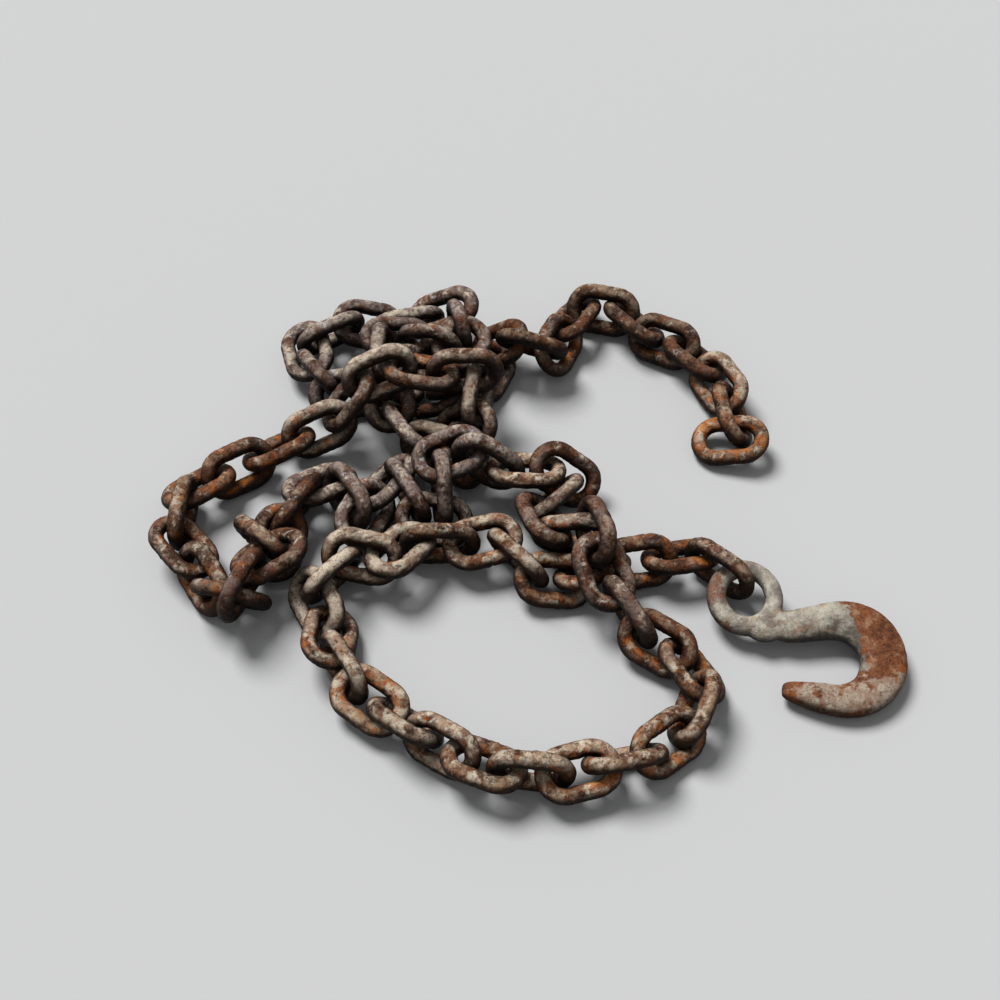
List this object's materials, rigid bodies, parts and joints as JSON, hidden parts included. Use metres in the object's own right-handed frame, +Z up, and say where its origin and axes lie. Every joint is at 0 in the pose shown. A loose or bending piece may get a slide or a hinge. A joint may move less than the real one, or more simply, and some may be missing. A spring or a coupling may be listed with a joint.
{
  "type": "rusty lifting chain with eye hook",
  "caption": "Loose heap of heavy round-bar oblong chain links, rusted all over, with a forged eye hook on one end and a free link on the other.",
  "frame": {"origin": "centre of the bounding box, at the ground that the chain lies on", "axes": "+Z up; +X across the heap toward the hook's side, +Y away from the hook's point toward the free end's side"},
  "size_m": [0.752, 0.6344, 0.1161],
  "materials": {
    "hook_steel": "worn pale paint over matte orange-brown rust",
    "near_links": "matte brown-beige rust with orange patches",
    "heap_links": "matte grey-brown rust with pale dust",
    "tail_links": "matte dark chocolate rust",
    "end_links": "matte orange rust with pale patches"
  },
  "bodies": {
    "root": {"eye_hook": "hook_steel", "link_01": "near_links", "link_02": "near_links", "link_03": "near_links", "link_04": "near_links", "link_05": "near_links", "link_06": "near_links", "link_07": "near_links", "link_08": "near_links", "link_09": "near_links", "link_10": "near_links", "link_11": "near_links", "link_12": "near_links", "link_13": "near_links", "links_14_15": "near_links", "links_16_17": "near_links", "links_18_19": "near_links", "links_20_21": "near_links", "links_22_23": "near_links", "links_24_25": "near_links", "links_26_27": "near_links", "links_28_29": "near_links", "links_30_31": "near_links", "links_32_33": "near_links", "links_34_35": "heap_links", "links_36_37": "heap_links", "links_38_39": "heap_links", "links_40_41": "heap_links", "links_42_43": "heap_links", "links_44_45": "heap_links", "links_46_47": "heap_links", "links_48_49": "heap_links", "links_50_51": "heap_links", "links_52_53": "heap_links", "links_54_55": "heap_links", "links_56_57": "heap_links", "links_58_59": "heap_links", "links_60_61": "heap_links", "links_62_63": "heap_links", "links_64_65": "heap_links", "links_66_67": "heap_links", "links_68_69": "heap_links", "links_70_71": "heap_links", "links_72_73": "heap_links", "links_74_75": "heap_links", "links_76_77": "heap_links", "links_78_79": "heap_links", "link_80": "tail_links", "link_81": "tail_links", "link_82": "tail_links", "link_83": "tail_links", "link_84": "tail_links", "link_85": "tail_links", "link_86": "tail_links", "link_87": "tail_links", "link_88": "tail_links", "link_89": "tail_links", "link_90": "tail_links", "link_91": "tail_links", "link_92": "end_links"}
  },
  "joints": []
}
